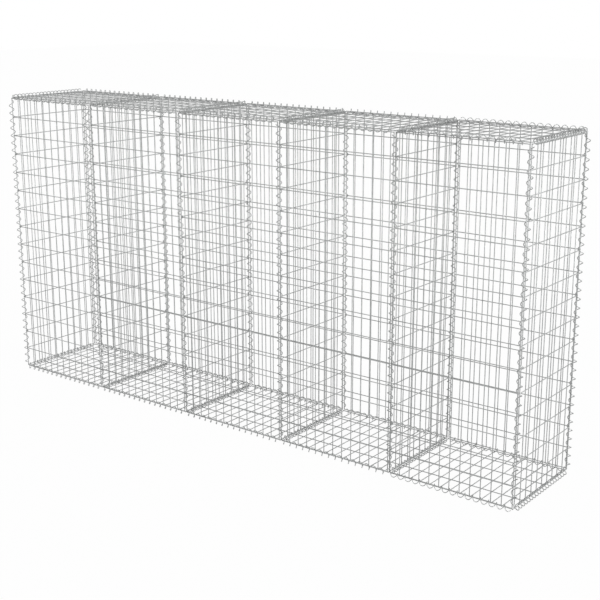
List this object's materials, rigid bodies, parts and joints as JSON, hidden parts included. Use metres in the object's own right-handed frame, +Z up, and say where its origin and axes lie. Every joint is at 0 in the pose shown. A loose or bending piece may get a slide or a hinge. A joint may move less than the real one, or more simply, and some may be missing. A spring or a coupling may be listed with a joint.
{
  "type": "gabion wall",
  "caption": "Long rectangular gabion wall of empty welded wire mesh bays with dividers, base and covers, laced along every edge with spiral wire binders.",
  "frame": {"origin": "centre of the wall's outline at the level that its lowest binders stand on", "axes": "+X along the wall to the right seen from the front, +Y from the front to the back, +Z up"},
  "size_m": [3.0924, 0.5404, 1.54],
  "materials": {
    "mesh_wire": "galvanised, dull zinc with a soft sheen",
    "binder_wire": "galvanised, dull zinc with a soft sheen"
  },
  "bodies": {
    "root": {"front_panel_1": "mesh_wire", "front_panel_2": "mesh_wire", "front_panel_3": "mesh_wire", "front_panel_4": "mesh_wire", "front_panel_5": "mesh_wire", "back_panel_1": "mesh_wire", "back_panel_2": "mesh_wire", "back_panel_3": "mesh_wire", "back_panel_4": "mesh_wire", "back_panel_5": "mesh_wire", "left_end_panel": "mesh_wire", "right_end_panel": "mesh_wire", "divider_1": "mesh_wire", "divider_2": "mesh_wire", "divider_3": "mesh_wire", "divider_4": "mesh_wire", "base_panel_1": "mesh_wire", "base_panel_2": "mesh_wire", "base_panel_3": "mesh_wire", "base_panel_4": "mesh_wire", "base_panel_5": "mesh_wire", "cover_cross_wires_1": "mesh_wire", "cover_cross_wires_2": "mesh_wire", "cover_cross_wires_3": "mesh_wire", "cover_cross_wires_4": "mesh_wire", "cover_cross_wires_5": "mesh_wire", "cover_long_wires_1": "mesh_wire", "cover_long_wires_2": "mesh_wire", "cover_long_wires_3": "mesh_wire", "cover_long_wires_4": "mesh_wire", "cover_long_wires_5": "mesh_wire", "front_binders": "binder_wire", "back_binders": "binder_wire", "base_front_binders": "binder_wire", "base_back_binders": "binder_wire", "cover_front_binders": "binder_wire", "cover_back_binders": "binder_wire", "base_cross_binders": "binder_wire", "cover_cross_binders": "binder_wire"}
  },
  "joints": []
}
